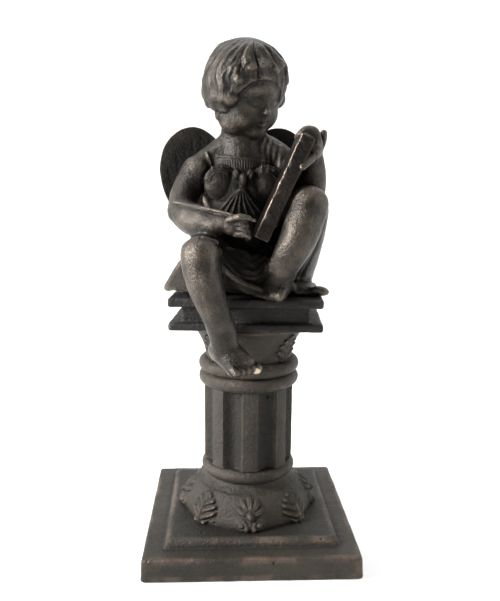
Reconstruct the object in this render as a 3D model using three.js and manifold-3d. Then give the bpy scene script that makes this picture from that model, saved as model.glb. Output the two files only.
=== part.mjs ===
// A seated angel on a book, on top of a short fluted column with a stepped square base.
// Millimetres, +Z up. The origin is at the middle of the underside, and the front faces -Y.
// Left and right are the figure's own: its left side is at +X.
import * as THREE from 'three';
import { mergeVertices } from 'three/addons/utils/BufferGeometryUtils.js';
import { ConvexGeometry } from 'three/addons/geometries/ConvexGeometry.js';
import Module from 'manifold-3d';

const wasm = await Module();
wasm.setup();

// Driving dimensions: heights of the joints between the pieces, from the floor up.
const baseTop = 40.7;
const columnTop = 137.2;
const bookTop = 156;
const baseSide = 125.2;
const shaftRadius = 27.5;
const columnX = -0.5;
const bookTurn = THREE.MathUtils.degToRad(-4.5);
const bookWidth = 87.6;
const bookDepth = 74;
const bodyX = -5;

const bronze = new THREE.MeshStandardMaterial({ color: 0x3a3029, roughness: 0.42, metalness: 0.75 });
const iron = new THREE.MeshStandardMaterial({ color: 0x46403a, roughness: 0.6, metalness: 0.6 });
const darkIron = new THREE.MeshStandardMaterial({ color: 0x262320, roughness: 0.62, metalness: 0.55 });

// Solids from geometry, and back again

function solid(geometry) {
  const bare = geometry.index ? geometry.toNonIndexed() : geometry.clone();
  for (const name of Object.keys(bare.attributes)) {
    if (name !== 'position') bare.deleteAttribute(name);
  }
  const merged = mergeVertices(bare, 1e-4);
  return new wasm.Manifold(new wasm.Mesh({
    numProp: 3,
    vertProperties: merged.attributes.position.array,
    triVerts: new Uint32Array(merged.index.array),
  }));
}

function join(solids) {
  return solids.reduce((whole, next) => whole.add(next));
}

function pieceMesh(name, made, material) {
  const { vertProperties, triVerts } = made.getMesh();
  const geometry = new THREE.BufferGeometry();
  geometry.setAttribute('position', new THREE.BufferAttribute(vertProperties, 3));
  geometry.setIndex(new THREE.BufferAttribute(triVerts, 1));
  geometry.computeVertexNormals();
  const mesh = new THREE.Mesh(geometry, material);
  mesh.name = name;
  return mesh;
}

// Modelling shapes

// An egg: a sphere with its own half-sizes.
function egg(at, size, { across = 6, down = 4 } = {}) {
  const sphere = new THREE.SphereGeometry(1, across, down);
  sphere.rotateX(Math.PI / 2);
  sphere.scale(...size);
  sphere.translate(...at);
  return solid(sphere);
}

// A limb: a capsule bent along a smooth curve. Each station is [x, y, z, radius] or
// [x, y, z, side radius, front radius], where the side radius lies along the given side direction.
function limb(stations, { around = 8, steps = 3, caps = 2, side = [1, 0, 0] } = {}) {
  const middle = new THREE.CatmullRomCurve3(stations.map((s) => new THREE.Vector3(s[0], s[1], s[2])));
  const girth = new THREE.CatmullRomCurve3(stations.map((s) => new THREE.Vector3(s[3], s[4] ?? s[3], 0)));
  const capsule = new THREE.CapsuleGeometry(1, 1, caps, around, steps);
  const place = capsule.attributes.position;
  const sideways = new THREE.Vector3(...side);
  for (let i = 0; i < place.count; i += 1) {
    const height = place.getY(i);
    const along = THREE.MathUtils.clamp(height + 0.5, 0, 1);
    const beyond = height - THREE.MathUtils.clamp(height, -0.5, 0.5);
    const centre = middle.getPoint(along);
    const tangent = middle.getTangent(along);
    const radius = girth.getPoint(along);
    const front = new THREE.Vector3().crossVectors(tangent, sideways).normalize();
    const flank = new THREE.Vector3().crossVectors(front, tangent);
    centre.addScaledVector(tangent, beyond * Math.min(radius.x, radius.y));
    centre.addScaledVector(flank, place.getX(i) * radius.x);
    centre.addScaledVector(front, -place.getZ(i) * radius.y);
    place.setXYZ(i, centre.x, centre.y, centre.z);
  }
  return solid(capsule);
}

// A hull: the tightest cloth-like wrap round a few corner points.
function hull(points) {
  return solid(new ConvexGeometry(points.map((p) => new THREE.Vector3(...p))));
}

// A turned solid from [radius, height] points, standing on +Z. Four segments give a square one.
function turned(profile, segments) {
  const lathe = new THREE.LatheGeometry(profile.map(([r, z]) => new THREE.Vector2(r, z)), segments);
  lathe.rotateX(Math.PI / 2);
  return lathe;
}

function block(low, high) {
  const size = high.map((value, i) => value - low[i]);
  const box = new THREE.BoxGeometry(...size);
  box.translate(...low.map((value, i) => value + size[i] / 2));
  return solid(box);
}

// Ornament shared by the base and the capital

// A relief leaf on a turned surface: a lobed outline wrapped on from its root to its tip.
// The surface is a function from height to radius.
function reliefLeaf(angle, surface, root, tip, width, lobes) {
  const proud = 1.7;
  const sunk = 2.5;
  const wrap = (sideways, height, out) => {
    const radius = surface(height) + out;
    const turn = angle + sideways / radius;
    return [radius * Math.sin(turn), -radius * Math.cos(turn), height];
  };
  const edge = [];
  for (let i = 0; i <= 2 * lobes; i += 1) {
    const t = i / (2 * lobes);
    const reach = width * (i % 2 ? 1 : 0.5) * Math.sin(Math.PI * (0.12 + 0.84 * t));
    edge.push(new THREE.Vector2(reach, root + (tip - root) * t));
  }
  const mirrored = edge.map((p) => new THREE.Vector2(-p.x, p.y)).reverse();
  const outline = new THREE.Shape([...edge, ...mirrored]);
  const blade = new THREE.ExtrudeGeometry(outline, { depth: 1, bevelEnabled: false });
  const place = blade.attributes.position;
  for (let i = 0; i < place.count; i += 1) {
    const out = place.getZ(i) > 0.5 ? proud : -sunk;
    place.setXYZ(i, ...wrap(place.getX(i), place.getY(i), out));
  }
  return solid(blade);
}

// A relief trefoil: three round petals about a button.
function reliefTrefoil(angle, surface, height, petalReach, petalSize) {
  const parts = [];
  const petals = 3;
  for (let petal = 0; petal <= petals; petal += 1) {
    const around = (petal / petals) * 2 * Math.PI;
    const reach = petal === petals ? 0 : petalReach;
    const level = height + reach * 0.8 * Math.cos(around);
    const radius = surface(level) + 0.1;
    const turn = angle + (reach * Math.sin(around)) / radius;
    const size = petal === petals ? petalSize * 0.8 : petalSize;
    const at = [radius * Math.sin(turn), -radius * Math.cos(turn), level];
    parts.push(egg(at, [size, size, size], { across: 5, down: 3 }));
  }
  return join(parts);
}

// Base: a stepped square plinth with an eight-sided foot carrying leaves and trefoils

const plinthStep = 13.5;
const plinthTop = 18.4;
const upperSide = 100.5;
const footReach = 43;
const footNeck = 26.3;
const ornaments = 8;

// The foot's corner radius at a height: a small cove under the column, then a swelling flare.
function footRadius(height) {
  const cove = 36.2;
  if (height > cove) {
    const up = (height - cove) / (baseTop - cove);
    return footNeck + 4.2 * (1 - Math.sin((up * Math.PI) / 2));
  }
  const down = (cove - height) / (cove - plinthTop);
  return footNeck + 5 + (footReach - footNeck - 5) * Math.sin((down * Math.PI) / 2) ** 0.85;
}

// How much of the corner radius the foot has at an angle: eight-sided below, round at the neck.
function footShare(angle, height) {
  const sector = (2 * Math.PI) / ornaments;
  const within = ((((angle % sector) + sector) % sector) - sector / 2);
  const flat = Math.cos(sector / 2) / Math.cos(within);
  const round = THREE.MathUtils.smoothstep(height, plinthTop + 6, baseTop - 2);
  return THREE.MathUtils.lerp(flat, 1, round);
}

function makeBase() {
  const corner = Math.SQRT2;
  const half = baseSide / 2;
  const upper = upperSide / 2;
  const square = turned([
    [0, 0],
    [(half - 0.9) * corner, 0],
    [half * corner, 1.6],
    [(half - 0.6) * corner, plinthStep - 1.4],
    [(half - 2.2) * corner, plinthStep],
    [upper * corner, plinthStep],
    [(upper - 0.4) * corner, plinthStep + 1.8],
    [(upper - 2.8) * corner, plinthTop],
    [0, plinthTop],
  ], 4);
  square.rotateZ(Math.PI / 4);

  const levels = [0, 1, 2, 3, 4].map((i) => plinthTop - 1 + (i / 4) * (baseTop - plinthTop + 1));
  const flare = turned([[0, levels[0]], ...levels.map((z) => [footRadius(z), z]), [0, baseTop]], 16);
  const place = flare.attributes.position;
  for (let i = 0; i < place.count; i += 1) {
    const share = footShare(Math.atan2(place.getX(i), -place.getY(i)), place.getZ(i));
    place.setXY(i, place.getX(i) * share, place.getY(i) * share);
  }
  const foot = [solid(flare)];

  for (let i = 0; i < ornaments; i += 1) {
    const angle = (i / ornaments) * 2 * Math.PI;
    foot.push(i % 2
      ? reliefLeaf(angle, footRadius, plinthTop + 2, baseTop - 6, 7, 3)
      : reliefTrefoil(angle, footRadius, plinthTop + 8, 5, 4));
  }
  const footOnColumnLine = join(foot).translate([columnX, 0, 0]);
  return pieceMesh('base', join([solid(square), footOnColumnLine]), iron);
}

// Column: a ring, a fluted shaft, two more rings and a leafy capital under a thin abacus

const ringRadius = 4.3;
const lowRing = 45;
const middleRing = 102.4;
const highRing = 110.8;
const flutes = 8;
const fluteBottom = 52;
const fluteTop = 96;
const capitalFoot = highRing + 3.6;
const abacusBottom = columnTop - 3;

function ringPoints(height, reach, steps) {
  const points = [];
  for (let i = 0; i <= steps; i += 1) {
    const angle = THREE.MathUtils.lerp(-0.42, 0.42, i / steps) * Math.PI;
    points.push([reach - ringRadius + ringRadius * Math.cos(angle), height + ringRadius * Math.sin(angle)]);
  }
  return points;
}

function capitalRadius(height) {
  const up = (height - capitalFoot) / (abacusBottom - capitalFoot);
  return 26.6 + 7.6 * up ** 1.9;
}

function makeColumn() {
  const bell = [0, 0.55, 1].map((t) => {
    const height = THREE.MathUtils.lerp(capitalFoot, abacusBottom, t);
    return [capitalRadius(height), height];
  });
  const profile = [
    [0, baseTop],
    [footNeck, baseTop],
    ...ringPoints(lowRing, 29.2, 3),
    [shaftRadius, lowRing + 4.2],
    [shaftRadius, middleRing - 4.4],
    ...ringPoints(middleRing, 30.9, 3),
    ...ringPoints(highRing, 31, 3),
    ...bell,
    [35.6, abacusBottom + 0.4],
    [35.6, columnTop],
    [0, columnTop],
  ];
  let column = solid(turned(profile, 20));

  const fluteRadius = 7.4;
  const fluteSink = shaftRadius + 3.9;
  for (let i = 0; i < flutes; i += 1) {
    const angle = ((i + 0.5) / flutes) * 2 * Math.PI;
    const x = fluteSink * Math.sin(angle);
    const y = -fluteSink * Math.cos(angle);
    const groove = [[x, y, fluteBottom, fluteRadius], [x, y, fluteTop, fluteRadius]];
    column = column.subtract(limb(groove, { around: 8, steps: 1, caps: 2 }));
  }

  const leaves = [];
  const capitalLeaves = 4;
  for (let i = 0; i < capitalLeaves; i += 1) {
    const angle = ((i + 0.5) / capitalLeaves) * 2 * Math.PI + 0.2;
    leaves.push(reliefLeaf(angle, capitalRadius, capitalFoot + 1.5, abacusBottom - 3, 6.5, 2));
  }
  const mesh = pieceMesh('column', join([column, ...leaves]), iron);
  mesh.position.x = columnX;
  return mesh;
}

// Book: two covers on a block of pages

function makeBook() {
  const lowerCover = 4.4;
  const upperCover = 5;
  const pageInset = 7.5;
  const board = (z, cover) => {
    const half = [bookWidth / 2, bookDepth / 2];
    const outline = new THREE.Shape();
    const round = 2;
    outline.moveTo(-half[0] + round, -half[1]);
    outline.lineTo(half[0] - round, -half[1]);
    outline.quadraticCurveTo(half[0], -half[1], half[0], -half[1] + round);
    outline.lineTo(half[0], half[1] - round);
    outline.quadraticCurveTo(half[0], half[1], half[0] - round, half[1]);
    outline.lineTo(-half[0] + round, half[1]);
    outline.quadraticCurveTo(-half[0], half[1], -half[0], half[1] - round);
    outline.lineTo(-half[0], -half[1] + round);
    outline.quadraticCurveTo(-half[0], -half[1], -half[0] + round, -half[1]);
    const slab = new THREE.ExtrudeGeometry(outline, { depth: cover, bevelEnabled: false, curveSegments: 3 });
    slab.translate(0, 0, z);
    return solid(slab);
  };
  const pages = block(
    [-bookWidth / 2 + pageInset, -bookDepth / 2 + pageInset, columnTop + lowerCover - 0.5],
    [bookWidth / 2 - pageInset, bookDepth / 2 - 1.5, bookTop - upperCover + 0.5],
  );
  const spine = block(
    [-bookWidth / 2 + pageInset, bookDepth / 2 - 4, columnTop + 0.5],
    [bookWidth / 2 - pageInset, bookDepth / 2, bookTop - 0.5],
  );
  const covers = join([board(columnTop, lowerCover), board(bookTop - upperCover, upperCover)]);
  const mesh = pieceMesh('book', join([pages, spine, covers]), darkIron);
  mesh.rotation.z = bookTurn;
  mesh.position.set(-1.4, -1, 0);
  return mesh;
}

// Angel: the figure with its wings, drawing board and stylus, cast as one

const headAt = new THREE.Vector3(-2.6, -8, 272);
const headTurn = { turn: 34, roll: -6, nod: 18 };
const headScale = 0.93;

// Everything on the head is set out facing -Y about the head's middle, then turned into place.
function headMatrix() {
  const angle = THREE.MathUtils.degToRad;
  const turn = new THREE.Euler(angle(headTurn.nod), angle(headTurn.roll), angle(headTurn.turn), 'ZYX');
  const spin = new THREE.Quaternion().setFromEuler(turn);
  return new THREE.Matrix4().compose(headAt, spin, new THREE.Vector3(headScale, headScale, headScale));
}

// The hair's surface about the head's middle, at an angle round from the face and down from the crown.
const hairSize = [23.4, 25, 26];
const hairAt = [0, 4, 4.4];

function hairSpot(round, down, proud) {
  return [
    hairAt[0] + (hairSize[0] + proud) * Math.sin(round) * Math.sin(down),
    hairAt[1] - (hairSize[1] + proud) * Math.cos(round) * Math.sin(down),
    hairAt[2] + (hairSize[2] + proud) * Math.cos(down),
  ];
}

// The bob: a cap cut away round the face, with thick locks falling from the crown to its rim.
function makeHair() {
  const cap = egg(hairAt, hairSize, { across: 10, down: 6 });
  const faceOpening = egg([0, -25, -14], [16.5, 20, 17.5], { across: 8, down: 5 });
  const below = block([-40, -40, -60], [40, 40, -15]);
  const shaped = cap.subtract(faceOpening).subtract(below);

  const locks = [];
  const count = 10;
  for (let i = 0; i < count; i += 1) {
    const round = ((i + 0.5) / count) * 2 * Math.PI - Math.PI;
    const front = Math.max(0, Math.cos(round));
    const end = THREE.MathUtils.lerp(2.2, 1.26, THREE.MathUtils.smoothstep(front, 0.3, 0.85));
    const sway = 0.13 * Math.sin(i * 2.4);
    const stations = [0.15, 0.5, 0.8, 1].map((t) => {
      const proud = (5.6 - 2.2 * front) * t ** 3 - 2.6;
      const spot = hairSpot(round + sway * t * t, 0.3 + (end - 0.3) * t, proud);
      return [...spot, 2.8 + 2.4 * Math.sin(Math.PI * Math.min(t, 0.8))];
    });
    const side = [Math.cos(round), Math.sin(round), 0];
    locks.push(limb(stations, { around: 4, steps: 3, caps: 1, side }));
  }
  return join([shaped, ...locks]);
}

function makeHead() {
  const parts = [
    egg([0, -3, -5.6], [17.8, 15.4, 18.4], { across: 10, down: 8 }),
    egg([0, -10.8, -20], [6.2, 5.6, 5], { across: 6, down: 4 }),
    limb([[0, -16.8, 0, 1.6], [0, -19.2, -8, 2.4]], { around: 5, steps: 1, caps: 1 }),
    egg([0, -16.4, -13.6], [3.8, 1.5, 1.1], { across: 6, down: 3 }),
    egg([0, -15.6, -15.8], [3, 1.7, 1.3], { across: 6, down: 3 }),
    makeHair(),
  ];
  for (const hand of [-1, 1]) {
    parts.push(egg([hand * 8.2, -7.6, -11.4], [8.2, 8, 8.4]));
    const brow = [[hand * 2.5, -16.6, 1.6, 1.4], [hand * 11, -13.2, 1.2, 1.3]];
    parts.push(limb(brow, { around: 3, steps: 1, caps: 1 }));
    parts.push(egg([hand * 6.6, -15, -3.4], [3.2, 1.9, 1.9], { across: 6, down: 3 }));
    parts.push(egg([hand * 18, 3, -12], [2.6, 3.6, 5], { across: 5, down: 4 }));
  }
  return join(parts).transform([...headMatrix().elements]);
}

function makeTorso() {
  const trunk = limb([
    [bodyX + 2, 6, 162, 27, 22],
    [bodyX + 1, 3, 188, 20.5, 17],
    [bodyX, 0, 208, 21.5, 15.5],
    [bodyX, 0, 221, 23, 14.5],
    [bodyX, 1, 232, 19, 11.5],
  ], { around: 10, steps: 5 });
  const nape = [[bodyX, 2, 230, 15], [bodyX - 1.6, -1, 244, 13], [bodyX - 0.6, -4, 257, 13]];
  const neck = limb(nape, { around: 8, steps: 2 });
  const slope = { around: 6, steps: 2, caps: 1 };
  const rightSlope = limb([[bodyX - 7, 2, 243, 8], [-21, 2, 236.4, 7.8], [-31, 1.5, 229, 7.6]], slope);
  const leftSlope = limb([[bodyX + 9, 1, 243, 7.6], [14, 1, 238, 7.8], [22, 1, 231, 8]], slope);
  return join([trunk, neck, rightSlope, leftSlope]);
}

const bustSpread = 11.6;
const bustHeight = 218.5;
const knotHeight = 217.5;

// The bodice: two gathered cups, a knot between them, folds fanning out below and a frilled neckline.
function makeBodice() {
  const parts = [];
  const thin = { around: 3, steps: 2, caps: 1 };
  for (const hand of [-1, 1]) {
    parts.push(egg([bodyX + hand * bustSpread, -9.6, bustHeight], [10, 8, 9.8], { across: 8, down: 6 }));
  }
  parts.push(egg([bodyX, -14.6, knotHeight], [4.2, 4.2, 5.2]));
  const folds = 5;
  for (let i = 0; i < folds; i += 1) {
    const fan = (i / (folds - 1)) * 2 - 1;
    parts.push(limb([
      [bodyX + fan * 3, -15.4, knotHeight - 4, 1.2],
      [bodyX + fan * 9, -15.8 + 2.6 * fan * fan, knotHeight - 13, 1.8],
      [bodyX + fan * 14, -15.4 + 4 * fan * fan, knotHeight - 23, 2],
    ], thin));
  }
  const neckline = [-1, -0.5, 0, 0.5, 1].map((fan) => [bodyX + fan * 14, -13.6 + 3.2 * fan * fan, 229, 1.8]);
  parts.push(limb(neckline, { around: 4, steps: 3, caps: 1, side: [0, 0, 1] }));
  parts.push(limb([[-26.5, -4, 236, 1.6], [-24, -10.5, 231, 1.6], [-19, -14.5, 225, 1.6]], thin));
  const shoulderFolds = 4;
  for (let i = 0; i < shoulderFolds; i += 1) {
    const step = i * 3.8;
    parts.push(limb([
      [5 + step, -3, 245 - 1.6 * i, 2],
      [3.5 + step, -11, 237.5 - 1.2 * i, 2],
      [2 + step * 0.9, -14, 226, 1.7],
    ], thin));
  }
  return join(parts);
}

const wingMiddle = -9;
const wingThickness = 3.2;

function makeWings() {
  const wings = [];
  for (const hand of [-1, 1]) {
    const outline = new THREE.Shape();
    outline.moveTo(0, 190);
    outline.bezierCurveTo(hand * 18, 186, hand * 35, 192, hand * 43, 212);
    outline.bezierCurveTo(hand * 53, 236, hand * 40, 254, hand * 26, 253.8);
    outline.bezierCurveTo(hand * 14, 253.6, hand * 6, 240, 0, 226);
    outline.closePath();
    const sheet = new THREE.ExtrudeGeometry(outline, {
      depth: wingThickness, bevelEnabled: false, curveSegments: 6,
    });
    sheet.rotateX(Math.PI / 2);
    sheet.translate(wingMiddle, 17.5, 0);
    wings.push(solid(sheet));
  }
  return join(wings);
}

const rightShoulder = [-31.5, 1, 226];
const rightElbow = [-41.5, -12, 203.5];
const rightWrist = [-17, -35.5, 197.5];
const leftShoulder = [21, 1, 228.5];
const leftElbow = [34.5, -11, 210];
const leftWrist = [33.5, -23, 236];
const upperArm = { around: 8, steps: 2, caps: 1 };

function makeRightArm() {
  const parts = [
    limb([[...rightShoulder, 10.4], [-38.5, -4, 215, 8.6], [...rightElbow, 8]], upperArm),
    limb([[...rightElbow, 7.8], [-33, -22, 199, 9.4], [-23, -31, 197, 7.2], [...rightWrist, 5.4]], { around: 8 }),
    egg([-11, -38.5, 196.5], [6.6, 4.8, 5.4]),
    limb([[-44.5, -19.5, 208.4, 1.1], [0, -44.5, 199.5, 1.1]], { around: 4, steps: 1, caps: 1 }),
  ];
  const fingers = 4;
  for (let i = 0; i < fingers; i += 1) {
    const x = -7 + 0.6 * i;
    const drop = i * 2.6;
    parts.push(limb([
      [x - 4, -41, 200.5 - drop, 2],
      [x, -43.4, 200 - drop, 1.9],
      [x + 1.5, -41.5, 198 - drop, 1.7],
    ], { around: 3, steps: 2, caps: 1, side: [0, 0, 1] }));
  }
  return join(parts);
}

const boardTilt = 24;
const boardSize = [7, 30, 60.5];
const boardAt = [15.7, -27, 217.2];

function makeBoard() {
  const slab = new THREE.BoxGeometry(...boardSize);
  slab.rotateY(THREE.MathUtils.degToRad(boardTilt));
  slab.translate(...boardAt);
  return solid(slab);
}

function makeLeftArm() {
  const parts = [
    limb([[...leftShoulder, 10.4], [30, -4, 219, 8.4], [...leftElbow, 7.8]], upperArm),
    limb([[...leftElbow, 7.8], [35, -17, 222, 7.6], [...leftWrist, 5.8]], { around: 8, steps: 2 }),
    egg([33, -26, 242], [4.6, 6.4, 6.6]),
    limb([[37, -25, 240, 2.1], [38.8, -26, 247.4, 1.9]], { around: 4, steps: 1, caps: 1 }),
  ];
  const fingers = 4;
  for (let i = 0; i < fingers; i += 1) {
    const y = -33 + 4 * i;
    parts.push(limb([
      [33, y, 245.5, 2.2],
      [28.5, y - 0.5, 248.2, 2.1],
      [23.5, y - 1, 245.5, 1.8],
    ], { around: 3, steps: 2, caps: 1, side: [0, 1, 0] }));
  }
  return join(parts);
}

// A foot from its heel out to five toes. The big toe lies on the given hand of the foot.
function makeFoot(heel, arch, ball, width, bigToe) {
  const sole = [[...heel, 6.4], [...arch, width * 0.46, 6], [...ball, width * 0.52, 4.2]];
  const parts = [limb(sole, { around: 8 })];
  const ahead = new THREE.Vector3(...ball).sub(new THREE.Vector3(...arch)).setZ(0).normalize();
  const across = new THREE.Vector3(-ahead.y, ahead.x, 0).multiplyScalar(bigToe);
  const toes = 5;
  for (let i = 0; i < toes; i += 1) {
    const spread = 0.5 - i / (toes - 1);
    const reach = 4.2 - 0.5 * i;
    const size = 3.2 - 0.28 * i;
    const toe = new THREE.Vector3(...ball)
      .addScaledVector(across, spread * width * 0.85)
      .addScaledVector(ahead, reach);
    parts.push(egg([toe.x, toe.y, toe.z - 1.2], [size, size * 1.2, size], { across: 5, down: 3 }));
  }
  return join(parts);
}

function makeHangingLeg() {
  return join([
    limb([[-18, 2, 171, 14], [-26, -22, 178, 13.4], [-29, -44, 180.5, 11]], { around: 8, caps: 1 }),
    limb([
      [-29, -48, 181, 10.8],
      [-26.5, -49.5, 166, 10],
      [-20.5, -49, 149, 7.8],
      [-16.4, -46.5, 137, 6.6],
      [-16, -44.5, 129, 6.6],
    ], { around: 8, steps: 5 }),
    makeFoot([-17.5, -42.5, 127.5], [-11.8, -47, 124], [-7, -51.4, 120.4], 15, 1),
  ]);
}

function makeRaisedLeg() {
  return join([
    limb([[22, 3, 169, 18], [28, -14, 189, 14.4], [31, -29, 204.5, 11.6]], { around: 8, caps: 1 }),
    limb([
      [30.2, -35.4, 208, 11.2],
      [24.5, -40, 191, 10.6],
      [16.5, -38, 174, 8.4],
      [14.5, -34, 164, 7.8],
    ], { around: 8, steps: 4 }),
    makeFoot([15.5, -29, 161.5], [11.5, -36, 161.5], [9.5, -40, 160], 16, 1),
  ]);
}

// The skirt: spread over the book, sagging between the knees, with a rolled hem and two loose corners.
function makeSkirt() {
  const hemRoll = 1.9;
  const hem = { around: 4, steps: 4, caps: 1 };
  return join([
    egg([bodyX + 2, 8, 161], [36, 26, 13], { across: 10, down: 6 }),
    egg([bodyX - 1, -22, 169], [20, 20, 12], { across: 8, down: 6 }),
    limb([
      [-22, -45.5, 187, hemRoll],
      [-18.5, -46.5, 176, hemRoll],
      [-8, -44, 167, hemRoll],
      [4, -41, 162, hemRoll],
    ], hem),
    limb([
      [-37, -43, 180, hemRoll],
      [-35.4, -47.5, 186, hemRoll],
      [-28.4, -50, 189.6, hemRoll],
      [-21, -46, 187.5, hemRoll],
    ], hem),
    hull([
      [-22, -42, 186], [-20, -30, 184], [-18.5, -45, 176], [-8, -42.5, 167.5], [4, -39.5, 162.5],
      [8, -22, 178], [-4, -40, 158], [8, -38, 158], [-16, -36, 165], [-5, -10, 182],
    ]),
    hull([
      [-34, -34, 183], [-42, -33, 177], [-52, -21, 160], [-51, -16, 157.5], [-49.6, -22, 157.2],
      [-34, -31, 157.2], [-36, 12, 168], [-24, 20, 156], [-24, -20, 184],
    ]),
    hull([
      [24, -26, 164], [43, -29.5, 157.8], [43, -25, 156], [42.4, -30, 156], [24, -31, 156.5],
      [37, -8, 162.5], [24, 12, 168], [38, 2, 156],
    ]),
  ]);
}

function makeAngel() {
  const seat = block([-100, -100, 0], [100, 100, bookTop]);
  const seated = join([makeTorso(), makeSkirt(), makeRaisedLeg()]).subtract(seat);
  const upper = join([makeHead(), makeBodice(), makeWings(), makeRightArm(), makeLeftArm(), makeBoard()]);
  return pieceMesh('angel', join([seated, makeHangingLeg(), upper]), bronze);
}

const statue = new THREE.Group();
statue.add(makeBase(), makeColumn(), makeBook(), makeAngel());

export default statue;
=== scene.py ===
from math import cos, sin, pi, radians

import bpy
import numpy as np
from mathutils import Matrix, Vector


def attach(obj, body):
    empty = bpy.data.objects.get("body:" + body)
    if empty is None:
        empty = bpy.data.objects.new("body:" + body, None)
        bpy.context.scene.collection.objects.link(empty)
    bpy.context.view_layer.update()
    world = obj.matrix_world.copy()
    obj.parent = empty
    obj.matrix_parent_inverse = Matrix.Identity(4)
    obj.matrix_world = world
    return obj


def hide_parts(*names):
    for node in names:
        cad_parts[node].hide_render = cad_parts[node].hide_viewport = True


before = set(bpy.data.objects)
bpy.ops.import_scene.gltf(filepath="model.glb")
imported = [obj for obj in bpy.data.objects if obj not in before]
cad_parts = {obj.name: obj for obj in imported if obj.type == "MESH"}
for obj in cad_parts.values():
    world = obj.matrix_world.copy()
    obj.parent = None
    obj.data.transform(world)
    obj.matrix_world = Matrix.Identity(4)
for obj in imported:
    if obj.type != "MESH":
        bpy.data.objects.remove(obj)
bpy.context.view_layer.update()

mm = 0.001  # sizes below are in millimetres
print("frame loaded:", ", ".join(sorted(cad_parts)))


# Small tools

def pickNothing():
    bpy.ops.object.select_all(action="DESELECT")


def pickOnly(obj):
    pickNothing()
    obj.select_set(True)
    bpy.context.view_layer.objects.active = obj


def readPoints(obj):
    flat = np.empty(len(obj.data.vertices) * 3, np.float32)
    obj.data.vertices.foreach_get("co", flat)
    return flat.reshape(-1, 3).astype(float) / mm


def writePoints(obj, spots):
    obj.data.vertices.foreach_set("co", (spots * mm).astype(np.float32).ravel())
    obj.data.update()


def readNormals(obj):
    flat = np.empty(len(obj.data.vertices) * 3, np.float32)
    obj.data.vertex_normals.foreach_get("vector", flat)
    return flat.reshape(-1, 3).astype(float)


def paintPoints(obj, name, values):
    layer = obj.data.attributes.new(name, "FLOAT", "POINT")
    layer.data.foreach_set("value", np.clip(values, 0, 1).astype(np.float32))


def useModifier(obj, kind, **settings):
    pickOnly(obj)
    bpy.ops.object.modifier_add(type=kind)
    added = obj.modifiers[-1]
    for key, value in settings.items():
        setattr(added, key, value)
    bpy.ops.object.modifier_apply(modifier=added.name)


def joinAs(name, pieces):
    pickNothing()
    for piece in pieces:
        piece.select_set(True)
    bpy.context.view_layer.objects.active = pieces[0]
    bpy.ops.object.join()
    pieces[0].name = name
    pieces[0].data.name = name
    return pieces[0]


def closeShell(obj):
    pickOnly(obj)
    bpy.ops.object.mode_set(mode="EDIT")
    bpy.ops.mesh.select_all(action="SELECT")
    bpy.ops.mesh.remove_doubles(threshold=0.002 * mm)
    bpy.ops.mesh.fill_holes(sides=0)
    bpy.ops.mesh.select_all(action="SELECT")
    bpy.ops.mesh.normals_make_consistent(inside=False)
    bpy.ops.object.mode_set(mode="OBJECT")


def cutBelow(obj, height):
    # cuts off what is below a height and closes the cut
    pickOnly(obj)
    bpy.ops.object.mode_set(mode="EDIT")
    bpy.ops.mesh.select_all(action="SELECT")
    bpy.ops.mesh.bisect(plane_co=(0, 0, height * mm), plane_no=(0, 0, 1), clear_inner=True, use_fill=True)
    bpy.ops.object.mode_set(mode="OBJECT")


def rollGrid(name, columns, rows, place):
    # a grid rolled up into an upright shell: angle 0 is the front, and each row has its own height
    pickNothing()
    bpy.ops.mesh.primitive_grid_add(x_subdivisions=columns, y_subdivisions=rows - 1, size=2)
    shell = bpy.context.object
    shell.name = name
    shell.data.name = name
    row, column = np.divmod(np.arange(len(shell.data.vertices)), columns + 1)
    angle = (column % columns) / columns * 2 * pi
    writePoints(shell, place(angle, row))
    closeShell(shell)
    return shell


def evenRows(profile, spacing):
    # the same profile in steps of about one spacing, with its corners kept
    rows = [profile[0]]
    for start, end in zip(profile, profile[1:]):
        count = max(1, round(float(np.hypot(end[0] - start[0], end[1] - start[1]) / spacing)))
        rows += [(start[0] + (end[0] - start[0]) * t, start[1] + (end[1] - start[1]) * t)
                 for t in np.linspace(0, 1, count + 1)[1:]]
    return rows


def smoothstep(low, high, value):
    share = np.clip((value - low) / (high - low), 0, 1)
    return share * share * (3 - 2 * share)


def bump(distance, width):
    return np.exp(-(distance / width) ** 2)


def throughStations(stations, share):
    # a smooth line through the stations, at shares of its run from 0 to 1
    knots = np.asarray(stations, float)
    last = len(knots) - 1
    ends = np.vstack([2 * knots[0] - knots[1], knots, 2 * knots[-1] - knots[-2]])
    along = np.clip(share, 0, 1) * last
    start = np.minimum(along.astype(int), last - 1)
    t = (along - start)[:, None]
    a, b, c, d = (ends[start + i] for i in range(4))
    return 0.5 * (2 * b + (c - a) * t + (2 * a - 5 * b + 4 * c - d) * t**2 + (3 * b - a - 3 * c + d) * t**3)


def neighbourMean(obj, values, rounds):
    # each point's mean over its neighbours, a few times over
    pairs = np.empty(len(obj.data.edges) * 2, np.int32)
    obj.data.edges.foreach_get("vertices", pairs)
    ends = pairs.reshape(-1, 2)
    here = np.concatenate([ends[:, 0], ends[:, 1]])
    there = np.concatenate([ends[:, 1], ends[:, 0]])
    count = np.maximum(np.bincount(here, minlength=len(values)), 1)
    for _ in range(rounds):
        values = np.stack([np.bincount(here, col[there], len(count)) / count for col in values.T], 1)
    return values


def paintWearDirtAndShade(obj, rounds, reach, paintedShade=0):
    # how proud or hollow the surface is, for worn edges and dirt; the last argument adds painted shade of
    # its own, counted as hollow
    spots = readPoints(obj)
    proud = ((spots - neighbourMean(obj, spots, rounds)) * readNormals(obj)).sum(1) / reach
    proud = neighbourMean(obj, proud[:, None], 2)[:, 0]
    paintPoints(obj, "wear", proud)
    paintPoints(obj, "hollow", paintedShade - proud)


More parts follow.
